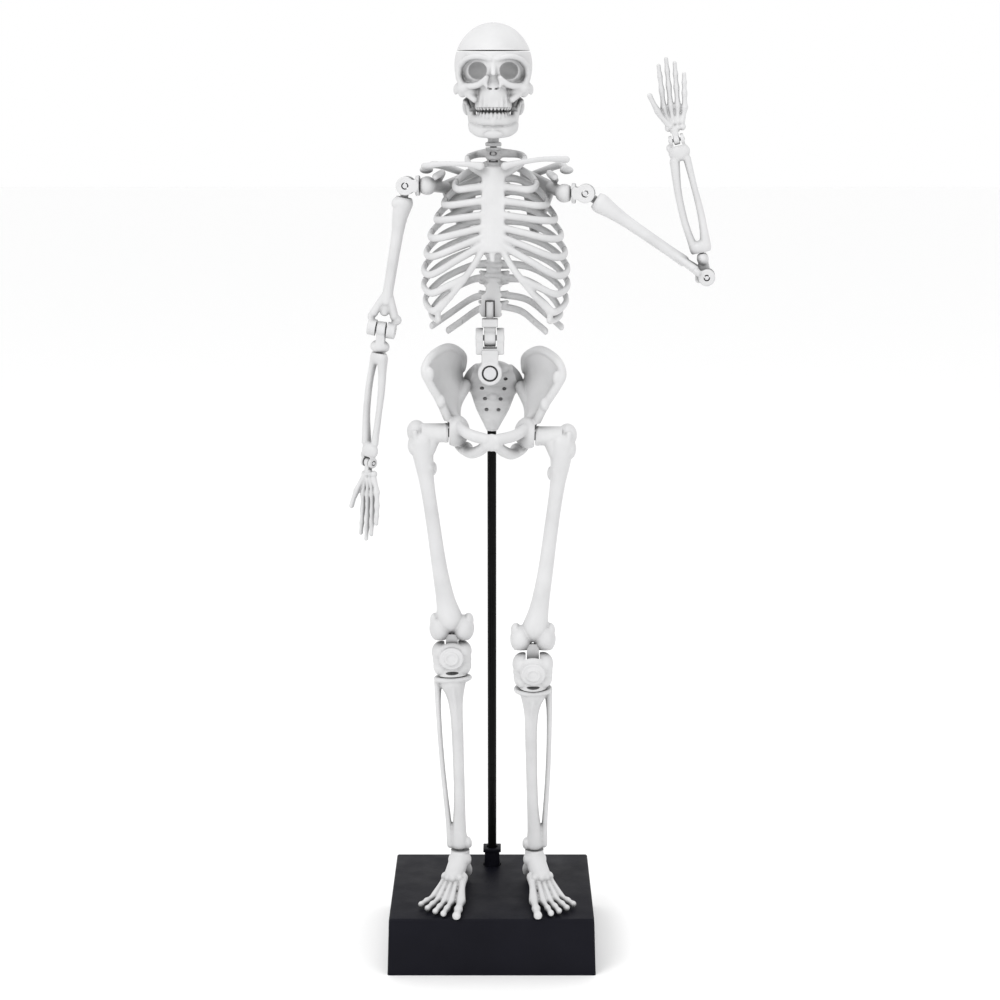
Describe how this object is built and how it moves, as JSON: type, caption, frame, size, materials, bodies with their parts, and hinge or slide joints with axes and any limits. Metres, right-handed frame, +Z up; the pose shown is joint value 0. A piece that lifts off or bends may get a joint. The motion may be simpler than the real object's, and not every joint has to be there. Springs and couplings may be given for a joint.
{
  "type": "human skeleton model",
  "caption": "Small jointed plastic human skeleton held up by a rod on a box base, for showing how the bones fit and move.",
  "frame": {"origin": "the middle of the base's underside, on the surface that the base stands on", "axes": "+Z up along the support rod, -Y the way the skeleton faces, +X the skeleton's own left side"},
  "size_m": [0.0923, 0.0482, 0.2339],
  "materials": {
    "bone_plastic": "satin off-white moulded plastic",
    "pin_plastic": "satin off-white moulded plastic pins",
    "base_plastic": "black moulded plastic with a soft sheen",
    "rod_metal": "black painted steel rod"
  },
  "bodies": {
    "stand": {"base_shell": "base_plastic", "base_cover": "base_plastic", "rod_socket": "base_plastic", "support_rod": "rod_metal"},
    "pelvis": {"pelvis_ring": "bone_plastic", "sacrum": "bone_plastic", "waist_pin": "pin_plastic"},
    "lumbar_link": {"lumbar_link": "bone_plastic", "lumbar_hinge_pin": "pin_plastic"},
    "lumbar_tongue": {"lumbar_tongue": "bone_plastic"},
    "torso": {"ribcage_back": "bone_plastic", "ribcage_front": "bone_plastic", "clavicle_left": "bone_plastic", "clavicle_right": "bone_plastic", "scapula_left": "bone_plastic", "scapula_right": "bone_plastic"},
    "neck": {"neck_peg": "bone_plastic"},
    "skull": {"cranium": "bone_plastic"},
    "skull_cap": {"skull_cap": "bone_plastic"},
    "jaw": {"mandible": "bone_plastic"},
    "shoulder_yoke_left": {"shoulder_yoke_left": "bone_plastic", "shoulder_pin_left": "pin_plastic"},
    "shoulder_hub_left": {"shoulder_hub_left": "bone_plastic"},
    "upper_arm_left": {"humerus_left": "bone_plastic", "elbow_pin_left": "pin_plastic"},
    "elbow_left": {"elbow_block_left": "bone_plastic"},
    "forearm_left": {"forearm_left": "bone_plastic", "wrist_pin_left": "pin_plastic"},
    "hand_left": {"hand_left": "bone_plastic"},
    "thigh_left": {"femur_left": "bone_plastic"},
    "knee_left": {"knee_block_left": "bone_plastic", "knee_pin_left": "pin_plastic", "tibia_fibula_left": "bone_plastic"},
    "foot_left": {"foot_left": "bone_plastic"},
    "shoulder_yoke_right": {"shoulder_yoke_right": "bone_plastic", "shoulder_pin_right": "pin_plastic"},
    "shoulder_hub_right": {"shoulder_hub_right": "bone_plastic"},
    "upper_arm_right": {"humerus_right": "bone_plastic", "elbow_pin_right": "pin_plastic"},
    "elbow_right": {"elbow_block_right": "bone_plastic"},
    "forearm_right": {"forearm_right": "bone_plastic", "wrist_pin_right": "pin_plastic"},
    "hand_right": {"hand_right": "bone_plastic"},
    "thigh_right": {"femur_right": "bone_plastic"},
    "knee_right": {"knee_block_right": "bone_plastic", "knee_pin_right": "pin_plastic", "tibia_fibula_right": "bone_plastic"},
    "foot_right": {"foot_right": "bone_plastic"}
  },
  "joints": [
    {"name": "lift_off_stand", "type": "slide", "parent": "stand", "child": "pelvis", "axis": [0, 0, 1], "range_m": [0, 0.03]},
    {"name": "waist_side_bend", "type": "hinge", "parent": "pelvis", "child": "lumbar_link", "pos_m": [-0.0004, 0.0035, 0.14853], "axis": [0, 1, 0], "range_deg": [-12, 12]},
    {"name": "waist_forward_bend", "type": "hinge", "parent": "lumbar_link", "child": "lumbar_tongue", "pos_m": [-0.0004, 0.0035, 0.15713], "axis": [1, 0, 0], "range_deg": [-12, 15]},
    {"name": "spine_twist", "type": "hinge", "parent": "lumbar_tongue", "child": "torso", "pos_m": [-0.0004, 0.0035, 0.15713], "axis": [0, 0, 1], "range_deg": [-30, 30]},
    {"name": "neck_turn", "type": "hinge", "parent": "torso", "child": "neck", "pos_m": [0.00048, 0.00556, 0.20903], "axis": [0, 0, 1], "range_deg": [-60, 60]},
    {"name": "head_nod", "type": "hinge", "parent": "neck", "child": "skull", "pos_m": [0.00048, 0.00556, 0.20903], "axis": [1, 0, 0], "range_deg": [-15, 15]},
    {"name": "jaw_open", "type": "hinge", "parent": "skull", "child": "jaw", "pos_m": [0.00048, 0.00496, 0.21543], "axis": [1, 0, 0], "range_deg": [0, 20]},
    {"name": "cap_lift", "type": "slide", "parent": "skull", "child": "skull_cap", "axis": [0, 0, 1], "range_m": [0, 0.02]},
    {"name": "shoulder_swing_left", "type": "hinge", "parent": "torso", "child": "shoulder_yoke_left", "pos_m": [0.02303, 0.00058, 0.19293], "axis": [-0.9962, 0.0872, 0], "range_deg": [-50, 50]},
    {"name": "shoulder_raise_left", "type": "hinge", "parent": "shoulder_yoke_left", "child": "shoulder_hub_left", "pos_m": [0.02303, 0.00058, 0.19293], "axis": [-0.0872, -0.9962, 0], "range_deg": [-15, 30]},
    {"name": "upper_arm_turn_left", "type": "hinge", "parent": "shoulder_hub_left", "child": "upper_arm_left", "pos_m": [0.02303, 0.00058, 0.19293], "axis": [-0.8259, 0.0723, 0.5592], "range_deg": [-35, 35]},
    {"name": "elbow_bend_left", "type": "hinge", "parent": "upper_arm_left", "child": "elbow_left", "pos_m": [0.05276, -0.00202, 0.1728], "axis": [-0.0872, -0.9962, 0], "range_deg": [-120, 0]},
    {"name": "forearm_turn_left", "type": "hinge", "parent": "elbow_left", "child": "forearm_left", "pos_m": [0.05276, -0.00202, 0.1728], "axis": [0.2309, -0.0202, -0.9728], "range_deg": [-90, 90]},
    {"name": "wrist_bend_left", "type": "hinge", "parent": "forearm_left", "child": "hand_left", "pos_m": [0.04491, -0.00134, 0.20587], "axis": [-0.9691, 0.0848, -0.2317], "range_deg": [-40, 40]},
    {"name": "hip_raise_left", "type": "hinge", "parent": "pelvis", "child": "thigh_left", "pos_m": [0.01407, 0.001, 0.13282], "axis": [-1, 0, 0], "range_deg": [0, 80]},
    {"name": "knee_bend_left", "type": "hinge", "parent": "thigh_left", "child": "knee_left", "pos_m": [0.01037, -0.00716, 0.07479], "axis": [1, 0, 0], "range_deg": [0, 80]},
    {"name": "ankle_turn_left", "type": "hinge", "parent": "knee_left", "child": "foot_left", "pos_m": [0.01099, 0.00007, 0.02461], "axis": [0, 0, 1], "range_deg": [-14, 25]},
    {"name": "shoulder_swing_right", "type": "hinge", "parent": "torso", "child": "shoulder_yoke_right", "pos_m": [-0.021, 0.00443, 0.19463], "axis": [-0.9962, 0.0872, 0], "range_deg": [-60, 150]},
    {"name": "shoulder_raise_right", "type": "hinge", "parent": "shoulder_yoke_right", "child": "shoulder_hub_right", "pos_m": [-0.021, 0.00443, 0.19463], "axis": [0.0872, 0.9962, 0], "range_deg": [-5, 90]},
    {"name": "upper_arm_turn_right", "type": "hinge", "parent": "shoulder_hub_right", "child": "upper_arm_right", "pos_m": [-0.021, 0.00443, 0.19463], "axis": [-0.1781, 0.0156, -0.9839], "range_deg": [-80, 80]},
    {"name": "elbow_bend_right", "type": "hinge", "parent": "upper_arm_right", "child": "elbow_right", "pos_m": [-0.02741, 0.00499, 0.15921], "axis": [-0.9801, 0.0858, 0.1788], "range_deg": [0, 130]},
    {"name": "forearm_turn_right", "type": "hinge", "parent": "elbow_right", "child": "forearm_right", "pos_m": [-0.02741, 0.00499, 0.15921], "axis": [-0.1059, 0.0093, -0.9943], "range_deg": [-90, 90]},
    {"name": "wrist_bend_right", "type": "hinge", "parent": "forearm_right", "child": "hand_right", "pos_m": [-0.03101, 0.00531, 0.1254], "axis": [0.7028, -0.7067, -0.0814], "range_deg": [-40, 40]},
    {"name": "hip_raise_right", "type": "hinge", "parent": "pelvis", "child": "thigh_right", "pos_m": [-0.01392, 0.001, 0.1336], "axis": [-1, 0, 0], "range_deg": [0, 80]},
    {"name": "knee_bend_right", "type": "hinge", "parent": "thigh_right", "child": "knee_right", "pos_m": [-0.01022, 0.00356, 0.07506], "axis": [1, 0, 0], "range_deg": [0, 80]},
    {"name": "ankle_turn_right", "type": "hinge", "parent": "knee_right", "child": "foot_right", "pos_m": [-0.00819, 0.00002, 0.02452], "axis": [0, 0, -1], "range_deg": [-14, 25]}
  ],
  "couplings": [
    {"joint": "knee_bend_left", "follows": "hip_raise_left", "ratio": 1},
    {"joint": "knee_bend_right", "follows": "hip_raise_right", "ratio": 1}
  ]
}
